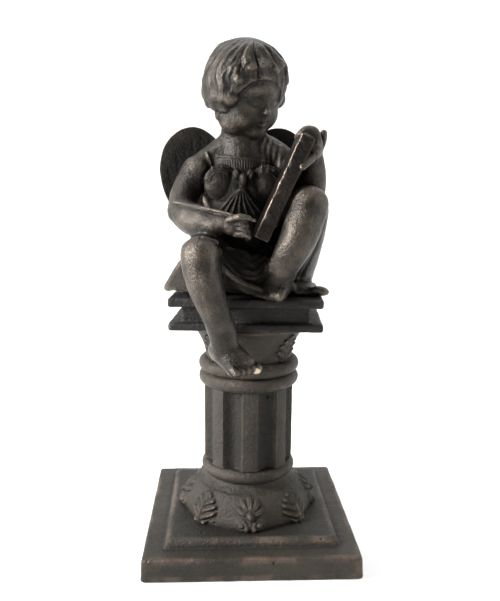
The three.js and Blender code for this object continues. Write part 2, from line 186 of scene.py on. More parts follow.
def unevenCast(obj, size, depth):
    # slow lumps, as a sand casting has
    lumps = bpy.data.textures.new(obj.name + "Lumps", "CLOUDS")
    lumps.noise_scale = size * mm
    lumps.noise_depth = 2
    useModifier(obj, "DISPLACE", texture=lumps, texture_coords="LOCAL", strength=depth * mm, mid_level=0.5)


def finishPiece(obj, node, material):
    pickOnly(obj)
    bpy.ops.object.shade_smooth_by_angle(angle=radians(50))
    obj.data.materials.clear()
    obj.data.materials.append(material)
    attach(obj, "root")
    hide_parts(node)
    obj.data.calc_loop_triangles()
    print(node, "done:", len(obj.data.loop_triangles), "triangles")


# Shader maths: a wrapped socket takes + - * with numbers and other sockets

class Wire:
    def __init__(self, tree, socket):
        self.tree = tree
        self.socket = socket

    def math(self, operation, first, second):
        node = self.tree.nodes.new("ShaderNodeMath")
        node.operation = operation
        for slot, value in zip(node.inputs, (first, second)):
            plug(self.tree, slot, value)
        return Wire(self.tree, node.outputs[0])

    def __add__(self, other):
        return self.math("ADD", self, other)

    def __sub__(self, other):
        return self.math("SUBTRACT", self, other)

    def __rsub__(self, other):
        return self.math("SUBTRACT", other, self)

    def __mul__(self, other):
        return self.math("MULTIPLY", self, other)

    __radd__ = __add__
    __rmul__ = __mul__


def plug(tree, socket, value):
    if isinstance(value, Wire):
        tree.links.new(value.socket, socket)
    else:
        socket.default_value = value


class Finish:
    def __init__(self, name, **constants):
        self.material = bpy.data.materials.new(name)
        self.material.use_nodes = True
        self.tree = self.material.node_tree
        self.shader = self.tree.nodes["Principled BSDF"]
        self.send(**constants)

    def send(self, **sockets):
        for key, value in sockets.items():
            plug(self.tree, self.shader.inputs[key.replace("_", " ")], value)

    def node(self, kind, settings, sockets, output=0):
        # any node: its settings, then the values or links of its sockets, by name or by number
        made = self.tree.nodes.new(kind)
        for key, value in settings.items():
            setattr(made, key, value)
        for key, value in sockets.items():
            plug(self.tree, made.inputs[key], value)
        return Wire(self.tree, made.outputs[output])

    def where(self):
        return self.node("ShaderNodeTexCoord", {}, {}, "Object")

    def noise(self, scale, detail=4.0, rough=0.6):
        sockets = {"Vector": self.where(), "Scale": scale, "Detail": detail, "Roughness": rough}
        return self.node("ShaderNodeTexNoise", {}, sockets)

    def pits(self, scale, size):
        # small round casting pits, 1 in a pit and 0 between them
        cells = self.node("ShaderNodeTexVoronoi", {}, {"Vector": self.where(), "Scale": scale})
        return self.spread(cells, size, 0.0)

    def painted(self, name):
        return self.node("ShaderNodeAttribute", {"attribute_name": name}, {}, "Fac")

    def spread(self, value, low, high):
        sockets = {"Value": value, "From Min": low, "From Max": high}
        return self.node("ShaderNodeMapRange", {"interpolation_type": "SMOOTHSTEP"}, sockets)

    def blend(self, share, first, second):
        # the colour sockets of this node share their names with others, so they go by number
        return self.node("ShaderNodeMix", {"data_type": "RGBA"}, {0: share, 6: first, 7: second}, 2)

    def roughen(self, height, distance, strength):
        sockets = {"Height": height, "Distance": distance, "Strength": strength}
        self.send(Normal=self.node("ShaderNodeBump", {}, sockets))


# Base: a stepped square plinth and an eight-sided foot with leaves and lilies in relief

base = dict(
    side=125.2, step=13.5, top=18.4, upperSide=100.5, upperTopSide=95.4, cornerRound=2.2,
    footReach=43.0, footNeck=26.3, seam=40.7, cove=36.2, coveDepth=4.2, flareStart=5, columnX=-0.5,
    sides=8, columns=512, footRows=66, rowGap=1.1, leafWidth=9.4, leafProud=1.9, lilySize=7.6, lilyProud=2.4,
    lilyRise=9, lumps=(9, 0.45), wear=(5, 0.3),
)


def squareReach(angle, half, corner):
    # how far a square with round corners reaches at an angle
    folded = np.abs((angle + pi / 4) % (pi / 2) - pi / 4)
    straight = half / np.cos(folded)
    inner = half - corner
    along = inner * (np.cos(folded) + np.sin(folded))
    arc = along + np.sqrt(np.maximum(along**2 - 2 * inner**2 + corner**2, 0))
    return np.where(half * np.tan(folded) <= inner, straight, arc)


def footRadius(height):
    up = np.clip((height - base["cove"]) / (base["seam"] - base["cove"]), 0, 1)
    down = np.clip((base["cove"] - height) / (base["cove"] - base["top"]), 0, 1)
    coveRadius = base["footNeck"] + base["coveDepth"] * (1 - np.sin(up * pi / 2))
    splay = base["footReach"] - base["footNeck"] - base["flareStart"]
    flare = base["footNeck"] + base["flareStart"] + splay * np.sin(down * pi / 2) ** 0.85
    return np.where(height > base["cove"], coveRadius, flare)


def footShare(angle, height):
    # eight-sided below, round at the neck, with a corner under each ornament
    sector = 2 * pi / base["sides"]
    flat = np.cos(sector / 2) / np.cos(angle % sector - sector / 2)
    rounding = smoothstep(base["top"] + 6, base["seam"] - 2, height)
    return flat + (1 - flat) * rounding


def leafRelief(across, rise, width, lobes, proud):
    # an acanthus leaf: lobed edge, raised rim, midrib and slanting furrows; rise runs from 0 to 1
    inLeaf = (rise > 0) & (rise < 1)
    t = np.clip(rise, 0, 1)
    side = np.abs(across)
    slant = t - 0.3 * side / width
    fringe = 0.52 + 0.48 * np.abs(np.sin(pi * lobes * slant)) ** 0.7
    edge = width * np.sin(pi * (0.1 + 0.88 * t)) ** 0.7 * fringe
    inside = np.where(inLeaf, edge - side, -1)
    body = smoothstep(0, 1.1, inside)
    rim = 0.3 * bump(inside - 0.9, 0.6)
    rib = 0.45 * bump(side, 0.7) * (1 - 0.5 * t)
    furrow = 0.34 * np.cos(2 * pi * lobes * slant) * smoothstep(0.8, 2.4, side)
    return proud * body * (0.6 + rim + rib - furrow)


def lilyRelief(across, height, size, proud):
    # a lily: five petals fanned out from a button, and two rolled scrolls below
    relief = np.zeros_like(across)
    for lean in (-1.25, -0.62, 0, 0.62, 1.25):
        along = across * sin(lean) + height * cos(lean) - 0.68 * size
        aside = across * cos(lean) - height * sin(lean)
        far = np.hypot(along / 0.56, aside / 0.25) / size
        relief = np.maximum(relief, proud * (1 - far**2) - 0.7 * bump(aside, 0.35) * (far < 0.9))
    for hand in (-1, 1):
        far = np.hypot(across - hand * 0.72 * size, height + 0.68 * size) / (0.56 * size)
        relief = np.maximum(relief, proud * (1 - far**2) - 0.8 * bump(far - 0.45, 0.14))
        far = np.hypot((across - hand * 0.32 * size) / 0.24, (height + 0.9 * size) / 0.42) / size
        relief = np.maximum(relief, 0.8 * proud * (1 - far**2))
    button = np.hypot(across, height) / (0.34 * size)
    return np.maximum(relief, proud * 1.1 * (1 - button**2))


def makeBase(material):
    half = base["side"] / 2
    upper = base["upperSide"] / 2
    upperTop = base["upperTopSide"] / 2
    step = base["step"]
    top = base["top"]
    plinth = [(0, 0), (half - 1.4, 0), (half - 0.7, 0.25), (half - 0.25, 0.7), (half, 1.6)]
    plinth += [(half - 0.5 * t, 1.6 + (step - 3.4) * t) for t in (0.25, 0.5, 0.75, 1)]
    plinth += [(half - 0.7, step - 1), (half - 1.2, step - 0.45), (half - 2, step - 0.1), (half - 3, step)]
    plinth += [(upper + 1.6, step), (upper + 0.7, step + 0.15), (upper + 0.15, step + 0.6)]
    plinth += [(upper, step + 1.2), (upper - 0.3, step + 2.2), (upper - 0.9, step + 3.2)]
    plinth += [(upper - 1.7, step + 4.1), (upperTop, top)]
    plinth += [(upperTop - 1.2, top + 0.05), (base["footReach"] + 2, top + 0.05)]
    plinth = plinth[:1] + evenRows(plinth[1:], base["rowGap"])
    footRows = base["footRows"]
    footHeights = np.linspace(top, base["seam"], footRows)
    squareRows = len(plinth)

    def place(angle, row):
        square = np.array(plinth)[np.minimum(row, squareRows - 1)]
        onFoot = row >= squareRows
        height = np.where(onFoot, footHeights[np.clip(row - squareRows, 0, footRows - 1)], square[:, 1])
        reach = squareReach(angle, np.maximum(square[:, 0], base["cornerRound"]), base["cornerRound"])
        reach = np.where(square[:, 0] == 0, 0, reach)
        sector = 2 * pi / base["sides"]
        nearest = np.round(angle / sector)
        radius = footRadius(height) * footShare(angle, height)
        across = (angle - nearest * sector) * radius
        rise = (height - top - 1.2) / (base["seam"] - 6.6 - top)
        leaf = leafRelief(across, rise, base["leafWidth"], 4, base["leafProud"])
        lily = lilyRelief(across, height - top - base["lilyRise"], base["lilySize"], base["lilyProud"])
        radius += np.where(nearest % 2 == 1, leaf, lily)
        reach = np.where(onFoot, radius, reach)
        shift = np.where(onFoot, base["columnX"], 0)
        return np.stack([reach * np.sin(angle) + shift, -reach * np.cos(angle), height], 1)

    piece = rollGrid("base", base["columns"], squareRows + footRows, place)
    unevenCast(piece, *base["lumps"])
    spots = readPoints(piece)
    spots[:, 2] = np.maximum(spots[:, 2], 0)  # flat on the floor
    writePoints(piece, spots)
    paintWearDirtAndShade(piece, *base["wear"])
    finishPiece(piece, "base", material)


# Column: a ring, a fluted shaft, two more rings and a leafy capital under a thin abacus

column = dict(
    bottom=40.7, top=137.2, neck=26.3, shaft=27.5, centreX=-0.5, columns=400, tube=4.3,
    lowRing=(45.0, 29.2), middleRing=(102.4, 30.9), highRing=(110.8, 31.0),
    flutes=8, fluteRadius=7.6, fluteAxis=31.0, fluteBottom=52.0, fluteTop=96.0,
    capitalFoot=114.4, capitalNeck=26.6, capitalSplay=7.6, abacus=134.2, abacusReach=35.6, ringClear=4.2,
    leafAngles=(50, 130, 230, 310), leafWidth=9, leafProud=1.4, shieldAngles=(0, 180), shieldRise=9.4,
    # these keys set the painted shade in the flutes: where it starts and how dark it gets
    shieldProud=0.55, shaftBottom=49.4, shaftTop=98, fluteShadeBottom=49.5, fluteShade=0.85, lumps=(9, 0.45),
    wear=(4, 0.3),
)


def ringRows(ring):
    height, reach = ring
    tube = column["tube"]
    turns = np.linspace(-0.44, 0.44, 17) * pi
    return [(reach - tube + tube * cos(a), height + tube * sin(a)) for a in turns]


def capitalRadius(height):
    up = np.clip((height - column["capitalFoot"]) / (column["abacus"] - column["capitalFoot"]), 0, 1)
    return column["capitalNeck"] + column["capitalSplay"] * up**1.9


def makeColumn(material):
    shaft, neck = column["shaft"], column["neck"]
    bottom, top = column["bottom"], column["top"]
    low, high = column["fluteBottom"], column["fluteTop"]
    foot, abacus = column["capitalFoot"], column["abacus"]
    reach = column["abacusReach"]
    rows = [(0, bottom), (neck - 0.5, bottom), (neck, bottom + 0.3)]
    rows += ringRows(column["lowRing"])
    rows += [(shaft, z) for z in np.linspace(column["shaftBottom"], low + 1, 10)]
    rows += [(shaft, z) for z in np.linspace(low + 2, high - 2, 34)]
    rows += [(shaft, z) for z in np.linspace(high - 1, column["shaftTop"], 8)]
    rows += ringRows(column["middleRing"]) + ringRows(column["highRing"])
    rows += [(capitalRadius(z), z) for z in np.linspace(foot + 0.6, abacus, 58)]
    rows += [(reach - 0.5, abacus + 0.2), (reach, abacus + 0.7), (reach, top - 0.5)]
    rows += [(reach - 0.5, top), (0, top)]
    rows = np.array(rows)

    def place(angle, row):
        radius = rows[row, 0].copy()
        height = rows[row, 1]
        sector = 2 * pi / column["flutes"]
        off = angle % sector - sector / 2
        past = np.maximum(np.maximum(low - height, height - high), 0)
        across = radius * np.sin(off)
        room = column["fluteRadius"] ** 2 - across**2 - past**2
        groove = (column["fluteAxis"] - np.sqrt(np.maximum(room, 0))) / np.cos(off)
        aboveRing = height > column["lowRing"][0] + column["ringClear"]
        belowRing = height < column["middleRing"][0] - column["ringClear"]
        onShaft = (room > 0) & aboveRing & belowRing
        radius = np.where(onShaft, np.minimum(radius, groove), radius)
        onBell = (height > foot) & (height <= abacus)
        rise = (height - foot - 0.4) / (abacus - foot - 2.6)
        relief = np.zeros_like(radius)
        for leafAngle in column["leafAngles"]:
            away = (angle - radians(leafAngle) + pi) % (2 * pi) - pi
            leaf = leafRelief(away * radius, rise, column["leafWidth"], 4, column["leafProud"])
            relief = np.maximum(relief, leaf)
        for shieldAngle in column["shieldAngles"]:
            away = (angle - radians(shieldAngle) + pi) % (2 * pi) - pi
            far = np.hypot(away * radius, height - foot - column["shieldRise"])
            relief = np.maximum(relief, column["shieldProud"] * smoothstep(9.6, 8.6, far))
        radius = radius + np.where(onBell, relief, 0)
        return np.stack([radius * np.sin(angle) + column["centreX"], -radius * np.cos(angle), height], 1)

    piece = rollGrid("column", column["columns"], len(rows), place)
    spots = readPoints(piece)
    radius = np.hypot(spots[:, 0] - column["centreX"], spots[:, 1])
    inFlute = (spots[:, 2] > column["fluteShadeBottom"]) & (spots[:, 2] < column["shaftTop"])
    # painted shade: the flutes are painted darker the deeper they are cut
    paintedShade = np.where(inFlute, smoothstep(shaft - 0.2, shaft - 3.5, radius) * column["fluteShade"], 0)
    unevenCast(piece, *column["lumps"])
    paintWearDirtAndShade(piece, *column["wear"], paintedShade)
    finishPiece(piece, "column", material)


# Book: a lower cover, a block of pages set back from it and an upper cover

book = dict(
    width=87.6, depth=74.0, bottom=137.2, top=156.0, lowerCover=4.6, upperCover=5.2, pageSides=7.5,
    pageFront=2.6, turn=-4.5, at=(-1.4, -1.0), edgeRound=1.3, voxel=0.6, pageLine=2.4, pageLineDepth=0.07,
    warp=0.35, lumps=(10, 0.6), wear=(6, 0.3),
)


def slab(at, size, tilt, rounding):
    pickNothing()
    bpy.ops.mesh.primitive_cube_add(size=mm)
    obj = bpy.context.object
    spin = np.array(Matrix.Rotation(radians(tilt), 3, "Y"))
    writePoints(obj, (readPoints(obj) * np.array(size)) @ spin.T + np.array(at))
    useModifier(obj, "BEVEL", width=rounding * mm, segments=4)
    return obj


def melt(name, pieces, voxel, rounds):
    obj = joinAs(name, pieces)
    useModifier(obj, "REMESH", mode="VOXEL", voxel_size=voxel * mm)
    useModifier(obj, "SMOOTH", factor=0.5, iterations=rounds)
    return obj


def makeBook(material):
    low, high = book["bottom"], book["top"]
    wide, deep = book["width"], book["depth"]
    pageSize = (wide - 2 * book["pageSides"], deep - book["pageFront"] - 1, high - low - 2)
    piece = melt("book", [
        slab((0, 0, low + book["lowerCover"] / 2), (wide, deep, book["lowerCover"]), 0, book["edgeRound"]),
        slab((0, book["pageFront"] / 2, (low + high) / 2), pageSize, 0, book["edgeRound"]),
        slab((0, 0, high - book["upperCover"] / 2), (wide, deep, book["upperCover"]), 0, book["edgeRound"]),
    ], book["voxel"], 2)
    spots = readPoints(piece)
    pagesLow = low + book["lowerCover"] + 0.4
    pagesHigh = high - book["upperCover"] - 0.4
    onPages = (spots[:, 2] > pagesLow) & (spots[:, 2] < pagesHigh)
    lines = book["pageLineDepth"] * np.sin(2 * pi * spots[:, 2] / book["pageLine"]) * onPages
    warp = book["warp"] * np.sin(spots[:, 0] / 13 + spots[:, 1] / 17)
    spots += readNormals(piece) * (lines * (np.abs(spots[:, 1]) < deep / 2))[:, None]
    spots[:, 1] += np.where(spots[:, 1] < 0, warp, 0)
    writePoints(piece, spots)
    piece.rotation_euler.z = radians(book["turn"])
    piece.location = (book["at"][0] * mm, book["at"][1] * mm, 0)
    pickOnly(piece)
    bpy.ops.object.transform_apply(location=True, rotation=True, scale=True)
    unevenCast(piece, *book["lumps"])
    paintWearDirtAndShade(piece, *book["wear"])
    finishPiece(piece, "book", material)


# Angel: modelled in clay as eggs, limbs and cloth, melted together, then carved

angel = dict(
    seat=156.0, bodyX=-5.0, softVoxel=0.9, softRounds=9, voxel=0.5, rounds=3, triangles=190000,
    headAt=(-2.6, -8.0, 272.0), headTurn=36, headRoll=-6, headNod=18, chin=240, skullRounds=22,
    rightWrist=(-17, -35.5, 197.5), leftWrist=(33.5, -23, 236), hangingToe=(1.4, -51.6, 118.2),
    lumps=(7, 0.7), wear=(6, 0.3),
)


def headFrame():
    turn = Matrix.Rotation(radians(angel["headTurn"]), 4, "Z")
    roll = Matrix.Rotation(radians(angel["headRoll"]), 4, "Y")
    nod = Matrix.Rotation(radians(angel["headNod"]), 4, "X")
    return np.array(Matrix.Translation(angel["headAt"]) @ turn @ roll @ nod)


def moved(spots, place):
    return spots @ place[:3, :3].T + place[:3, 3]


def ball():
    pickNothing()
    bpy.ops.mesh.primitive_uv_sphere_add(segments=28, ring_count=24, radius=mm)
    return bpy.context.object


def egg(at, size, turn=(0, 0, 0), place=None):
    obj = ball()
    spin = np.array(Matrix.Rotation(radians(turn[2]), 3, "Z") @ Matrix.Rotation(radians(turn[1]), 3, "Y")
                    @ Matrix.Rotation(radians(turn[0]), 3, "X"))
    spots = (readPoints(obj) * np.array(size)) @ spin.T + np.array(at)
    writePoints(obj, spots if place is None else moved(spots, place))
    return obj


def limb(stations, side=(1, 0, 0), place=None):
    # a ball drawn out along a line; a station is x, y, z and one radius, or a side and a front radius
    obj = ball()
    unit = readPoints(obj)
    capShare = 0.2
    polar = np.arccos(np.clip(-unit[:, 2], -1, 1)) / pi
    along = np.clip((polar - capShare) / (1 - 2 * capShare), 0, 1)
    start = np.clip(polar / capShare, 0, 1) * pi / 2
    end = np.clip((1 - polar) / capShare, 0, 1) * pi / 2
    girth = np.sin(start) * np.sin(end)
    beyond = np.cos(end) - np.cos(start)
    stations = np.array([s if len(s) == 5 else (*s, s[3]) for s in stations], float)
    line = throughStations(stations, along)
    step = throughStations(stations[:, :3], np.minimum(along + 0.02, 1))
    step = step - throughStations(stations[:, :3], np.maximum(along - 0.02, 0))
    ahead = step / np.linalg.norm(step, axis=1, keepdims=True)
    front = np.cross(ahead, np.array(side, float))
    front /= np.linalg.norm(front, axis=1, keepdims=True)
    flank = np.cross(front, ahead)
    around = np.arctan2(unit[:, 1], unit[:, 0])
    spots = line[:, :3] + ahead * (beyond * np.minimum(line[:, 3], line[:, 4]))[:, None]
    spots += flank * (np.cos(around) * girth * line[:, 3])[:, None]
    spots += front * (np.sin(around) * girth * line[:, 4])[:, None]
    writePoints(obj, spots if place is None else moved(spots, place))
    return obj


def wrapPoints(corners):
    # the tightest skin round a few points
    obj = ball()
    spots = readPoints(obj)
    spots[:] = np.array(corners, float)[np.arange(len(spots)) % len(corners)]
    writePoints(obj, spots)
    pickOnly(obj)
    bpy.ops.object.mode_set(mode="EDIT")
    bpy.ops.mesh.select_all(action="SELECT")
    bpy.ops.mesh.remove_doubles(threshold=0.01 * mm)
    bpy.ops.mesh.convex_hull()
    bpy.ops.object.mode_set(mode="OBJECT")
    return obj


def trunk():
    x = angel["bodyX"]
    return [
        limb([(x + 2, 6, 162, 27, 22), (x + 1, 3, 188, 20.5, 17), (x, 0, 208, 21.5, 15.5),
              (x, 0, 221, 23, 14.5), (x, 1, 232, 19, 11.5)]),
        limb([(x, 3, 230, 15), (x - 1.2, 2.5, 243, 12.6), (x - 1, 1, 255, 11.6)]),
        limb([(x - 7, 2, 243, 8), (-21, 2, 236.4, 7.8), (-31, 1.5, 229, 7.6)]),
        limb([(x + 9, 1, 243, 7.6), (14, 1, 238, 7.8), (22, 1, 231, 8)]),
        egg((x + 2, 8, 161), (36, 26, 13)),
        egg((x - 1, -22, 169), (20, 20, 12)),
    ]


def foot(heel, arch, ballOfFoot, width):
    ahead = np.array(ballOfFoot, float) - np.array(arch, float)
    ahead[2] = 0
    ahead /= np.linalg.norm(ahead)
    across = np.array([-ahead[1], ahead[0], 0])
    sole = [limb([(*heel, 7.6), (*arch, width * 0.48, 7.6), (*ballOfFoot, width * 0.52, 5)])]
    toes = []
    for i in range(5):
        size = 3.2 - 0.28 * i
        spot = np.array(ballOfFoot) + across * (0.5 - i / 4) * width * 0.85 + ahead * (2.2 - 0.5 * i)
        tip = spot + ahead * 2.8
        toes.append(limb([(*spot, size * 0.85), (tip[0], tip[1], tip[2] - 1.6, size)]))
    return sole, toes


def raisedLeg():
    sole, toes = foot((16, -29, 163), (12, -36, 162.6), (9.5, -40, 160.6), 19)
    return sole + [
        limb([(22, 3, 169, 18), (28, -14, 189, 14.4), (31, -29, 204.5, 11.6)]),
        limb([(30.2, -35.4, 208, 11.2), (24.5, -40, 191, 10.6), (16.5, -38, 174, 8.4),
              (14.5, -34, 164, 7.8)]),
        egg((31, -38, 209), (8.2, 7.6, 8.6)),
    ], toes


def hangingLeg():
    sole, toes = foot((-17.5, -42.5, 128.5), (-12, -46.6, 125.4), (-7, -51.2, 121), 17)
    return sole + [
        limb([(-18, 2, 171, 14), (-26, -22, 178, 13.4), (-29, -44, 180.5, 11)]),
        limb([(-29, -48, 181, 10.8), (-26.5, -49.5, 166, 10), (-20.5, -49, 149, 8),
              (-16.6, -46.5, 137, 7.8), (-16, -44.5, 129, 8)]),
        egg((-29.6, -51.5, 181), (7.6, 7, 8)),
    ], toes


def arms():
    return [
        limb([(-31.5, 1, 226, 10.4), (-38.5, -4, 215, 8.6), (-41.5, -12, 203.5, 8)]),
        limb([(-41.5, -12, 203.5, 7.8), (-33, -22, 199, 9.4), (-23, -31, 197, 7.2),
              (*angel["rightWrist"], 5.4)]),
        egg((-11, -38.5, 196.5), (6.6, 4.8, 5.4)),
        limb([(21, 1, 228.5, 10.4), (30, -4, 219, 8.4), (34.5, -11, 210, 7.8)]),
        limb([(34.5, -11, 210, 7.8), (35, -17, 222, 7.6), (*angel["leftWrist"], 5.8)]),
        egg((32.6, -28, 239.5), (5.8, 8, 7.6)),
        egg((29.4, -29.5, 243.6), (5.6, 9, 4.6)),
        egg((27.4, -34.5, 243.4), (4.2, 6, 4.4)),
    ]


def skull(place):
    parts = [
        egg((0, -3, -5.6), (17.8, 15.4, 18.4), place=place),
        egg((0, -7.4, 4), (15, 12, 11), place=place),
        egg((0, -9.8, -19), (7.4, 6.4, 5.6), place=place),
        egg((0, -10.8, -14), (6.8, 5.6, 5.4), place=place),
        egg((0, -3, -20.5), (10, 9, 5), place=place),
    ]
    for hand in (-1, 1):
        parts.append(egg((hand * 8.2, -7.6, -11.6), (8.2, 8, 8.2), place=place))
        parts.append(egg((hand * 8.6, -1.5, -14), (10.4, 11, 10), place=place))
    return melt("skull", parts, angel["softVoxel"], angel["skullRounds"])


def fingers():
    parts = []
    for i in range(4):
        x = -7 + 0.6 * i
        drop = i * 2.6
        bones = [(x - 5, -40.4, 200.3 - drop, 1.9), (x, -43.4, 200 - drop, 1.8)]
        bones += [(x + 2.5, -42.6, 198.6 - drop, 1.5), (x + 1.4, -40.4, 197.6 - drop, 1.4)]
        parts.append(limb(bones, (0, 0, 1)))
    parts.append(limb([(-14, -41, 199.4, 2), (-8, -44.4, 201.6, 1.8), (-3, -44.8, 201, 1.5)], (0, 0, 1)))
    for i in range(4):
        y = -35 + 4.4 * i
        bones = [(34.5, y + 0.6, 241.5, 2.6), (32.4, y, 247.4, 2.6)]
        bones += [(28, y - 0.6, 248.4, 2.3), (24.6, y - 1, 245.4, 1.9)]
        parts.append(limb(bones, (0, 1, 0)))
    parts.append(limb([(36.6, -25, 238, 2.4), (38.4, -26, 243.6, 2.1), (38.8, -26, 247.6, 1.7)]))
    parts.append(limb([(31, -36, 233.5, 2.6), (27.5, -39.5, 230.5, 2.3), (25.4, -41, 228.4, 2)]))
    parts.append(limb([(-44.5, -19.5, 208.8, 1.0), (-23, -33.5, 205, 1.0), (0, -45, 199.8, 0.9)]))
    return parts


def face(place):
    level = (0, 0, 1)
    bridge = [(0, -15.6, 0.6, 1.5), (0, -17.6, -4, 1.5), (0, -19, -7.4, 2)]
    upperLip = [(-3.6, -14.9, -13.6, 0.5), (-1.2, -16.6, -12.9, 0.9), (0, -16.6, -13.2, 0.8)]
    upperLip += [(1.2, -16.6, -12.9, 0.9), (3.6, -14.9, -13.6, 0.5)]
    lowerLip = [(-2.8, -14.9, -14.8, 0.5), (0, -16.2, -15.4, 1.2), (2.8, -14.9, -14.8, 0.5)]
    parts = [
        limb(bridge, place=place),
        egg((0, -18.9, -8), (2.4, 2, 1.8), place=place),
        limb(upperLip, level, place),
        limb(lowerLip, level, place),
    ]
    for hand in (-1, 1):
        lid = [(hand * 3.3, -15.2, -3.9, 0.5), (hand * 6.4, -16.3, -4.6, 0.6), (hand * 9.8, -13.9, -4, 0.5)]
        brow = [(hand * 2.6, -16, 1, 0.9), (hand * 6.6, -15.9, 2.1, 1), (hand * 11.4, -12.6, 0.6, 0.8)]
        parts.append(egg((hand * 1.9, -17.5, -8.4), (1.3, 1.6, 1.2), place=place))
        parts.append(egg((hand * 6.5, -13.9, -3.4), (3.3, 2.4, 2.3), place=place))
        parts.append(limb(lid, level, place))
        parts.append(limb(brow, level, place))
    parts.append(egg((-17.8, 2, -12.5), (2.2, 3, 4.4), place=place))
    return parts


hair = dict(at=(0, 3.6, 4.1), size=(23.6, 23.4, 24.2), locks=18, crown=0.28, cut=-13, voxel=0.6, rounds=6,
            rimProud=-3, rimThick=5.6, curls=4, partings=(-0.72, -0.35, 0.2, 0.62))
hairline = dict(at=(-4.5, -24, -10), size=(20, 20, 20.5))


def hairSpot(around, down, proud):
    x, y, z = hair["size"]
    return (
        hair["at"][0] + (x + proud) * sin(around) * sin(down),
        hair["at"][1] - (y + proud) * cos(around) * sin(down),
        hair["at"][2] + (z + proud) * cos(down),
    )


def bob(place):
    # a cap cut open at the face, flat locks from the crown, a rolled rim and curls at the temples
    cap = egg(hair["at"], hair["size"])
    opening = egg(hairline["at"], hairline["size"])
    useModifier(cap, "BOOLEAN", operation="DIFFERENCE", object=opening, solver="EXACT")
    bpy.data.objects.remove(opening)
    cutBelow(cap, hair["cut"])
    parts = [cap]
    count = hair["locks"]
    for i in range(count):
        around = (i + 0.5) / count * 2 * pi - pi
        front = max(0, cos(around))
        end = 2.15 - 1.1 * float(smoothstep(0.3, 0.85, front)) + 0.12 * front * sin(3.1 * i)
        sway = 0.1 * sin(i * 2.4)
        stations = []
        for t in (0, 0.3, 0.6, 0.82, 1):
            proud = (2.4 - 0.7 * front) * t**3 - 2.3 + 0.4 * sin(5 * t + i)
            spot = hairSpot(around + sway * sin(3 * t), hair["crown"] + (end - hair["crown"]) * t, proud)
            thick = 1.4 + 2 * sin(pi * min(t + 0.08, 0.82))
            stations.append((*spot, thick * 1.7, thick))
        parts.append(limb(stations, (cos(around), sin(around), 0)))
    rim = []
    for turn in np.linspace(1.05, 2 * pi - 1.05, 13):
        rim.append((*hairSpot(-turn, 1.9 + 0.06 * sin(4 * turn), hair["rimProud"]), hair["rimThick"]))
    parts.append(limb(rim, (0, 0, 1)))
    shell = melt("hair", parts, hair["voxel"], hair["rounds"])
    writePoints(shell, moved(readPoints(shell), place))
    curls = []
    for hand in (-1, 1):
        for i in range(hair["curls"]):
            around = hand * (0.66 + 0.15 * i)
            curl = []
            for n, t in enumerate((0, 0.35, 0.7, 1)):
                proud = 0.5 + 0.8 * sin(pi * t) - t
                spot = hairSpot(around + hand * 0.12 * sin(2.6 * t), 0.92 + 0.08 * i + 0.4 * t, proud)
                curl.append((*spot, 1.3 - 0.12 * n))
            curls.append(limb(curl, place=place))
    return [shell] + curls


bust = dict(x=-5.0, cupOut=13.2, cupZ=220.0, cup=(9.8, 5.4, 10.4), knotZ=223.0)


def bodice():
    x, z = bust["x"], bust["knotZ"]
    parts = [egg((x, -14.2, z - 1), (3.2, 2.6, 4.2))]
    for hand in (-1, 1):
        parts.append(egg((x + hand * bust["cupOut"], -9.6, bust["cupZ"]), bust["cup"]))
        parts.append(egg((x + hand * 3.8, -14, z + 1.6), (2.3, 2.2, 3.4), (0, hand * 14, 0)))
    parts.append(limb([(-28, -20.5, 212.5, 0.5), (-26.4, -22.4, 209.4, 1.7), (-23.5, -26, 204.5, 1.4)]))
    return parts


def skirtCloth():
    lap = [(-22, -42, 186), (-20, -30, 184), (-18.5, -45, 176), (-8, -42.5, 167.5), (4, -39.5, 162.5)]
    lap += [(8, -22, 178), (-4, -40, 158), (8, -38, 158), (-16, -36, 165), (-5, -10, 182)]
    rightCorner = [(-34, -34, 183), (-42, -33, 177), (-52, -21, 160), (-51, -16, 157.5), (-49.6, -22, 157.2)]
    rightCorner += [(-34, -31, 157.2), (-36, 12, 168), (-24, 20, 156.5), (-24, -20, 184)]
    leftCorner = [(24, -26, 164), (43, -29.5, 157.8), (43, -25, 156.5), (42.4, -30, 156.5), (24, -31, 156.8)]
    leftCorner += [(37, -8, 162.5), (24, 12, 168), (38, 2, 156.5)]
    cloth = [wrapPoints(corners) for corners in (lap, rightCorner, leftCorner)]
    return cloth + [egg((39, -28.4, 159.4), (6, 4, 2.9), (0, 12, 0))]


def hems():
    thick = 1.7
    lap = [(-22, -45.5, 187), (-18.5, -47, 176), (-8, -45, 167), (4, -42, 162)]
    knee = [(-38, -42, 179), (-37, -47.5, 186), (-29, -51, 190.4), (-20.6, -47, 188)]
    return [limb([(*spot, thick) for spot in hem]) for hem in (lap, knee)]


wing = dict(
    middle=-9.0, back=17.5, thick=3.2, steps=16, feathers=9,
    outline=(((0, 190), (18, 186), (35, 192), (43, 212)), ((43, 212), (53, 236), (40, 254), (26, 253.8)),
             ((26, 253.8), (14, 253.6), (6, 240), (0, 226))),
)


def wings():
    parts = []
    for hand in (-1, 1):
        edge = []
        for curve in wing["outline"]:
            a, b, c, d = (np.array(p, float) for p in curve)
            for t in np.linspace(0, 1, wing["steps"], endpoint=False):
                edge.append(a * (1 - t)**3 + 3 * b * t * (1 - t)**2 + 3 * c * t**2 * (1 - t) + d * t**3)
        edge = np.array(edge)
        pickNothing()
        bpy.ops.mesh.primitive_circle_add(vertices=len(edge), radius=mm, fill_type="NGON")
        obj = bpy.context.object
        across = wing["middle"] + hand * edge[:, 0]
        writePoints(obj, np.stack([across, np.full(len(edge), wing["back"]), edge[:, 1]], 1))
        bpy.ops.object.mode_set(mode="EDIT")
        bpy.ops.mesh.select_all(action="SELECT")
        bpy.ops.mesh.extrude_region_move(TRANSFORM_OT_translate={"value": (0, -wing["thick"] * mm, 0)})
        bpy.ops.mesh.select_all(action="SELECT")
        bpy.ops.mesh.normals_make_consistent(inside=False)
        bpy.ops.object.mode_set(mode="OBJECT")
        parts.append(obj)
    return parts


